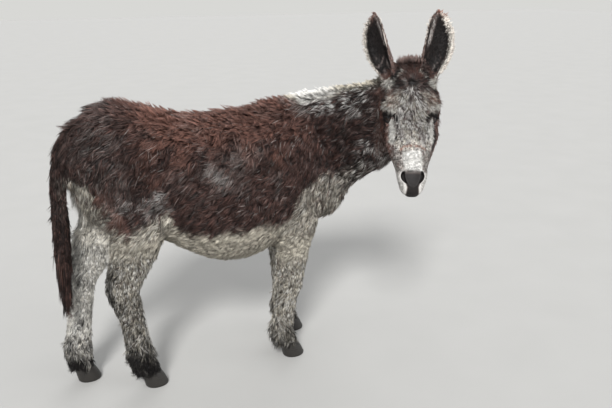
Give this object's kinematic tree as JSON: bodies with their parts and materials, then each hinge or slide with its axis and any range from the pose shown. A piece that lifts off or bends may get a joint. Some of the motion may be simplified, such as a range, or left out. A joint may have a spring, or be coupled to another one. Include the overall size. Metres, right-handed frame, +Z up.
{
  "type": "donkey",
  "caption": "Standing shaggy donkey at life size, head turned back to its right, ears up, tail hanging, on separate hooves.",
  "frame": {"origin": "on the floor, under the middle of the whole animal's box", "axes": "+X the way the body faces, +Y its left side, +Z up"},
  "size_m": [1.435, 0.8426, 1.4556],
  "materials": {
    "coat": "long shaggy winter hair, dark brown body, pale grey legs and belly",
    "ear": "short hair outside, dark bare skin inside, pale fringe",
    "hoof": "dull dark horn",
    "eye": "wet, nearly black"
  },
  "bodies": {
    "root": {"trunk": "coat", "neck": "coat", "head": "coat", "tail": "coat", "foreleg_right": "coat", "foreleg_left": "coat", "hindleg_right": "coat", "hindleg_left": "coat", "ear_right": "ear", "ear_left": "ear", "forehoof_right": "hoof", "forehoof_left": "hoof", "hindhoof_right": "hoof", "hindhoof_left": "hoof", "eye_right": "eye", "eye_left": "eye"}
  },
  "joints": []
}
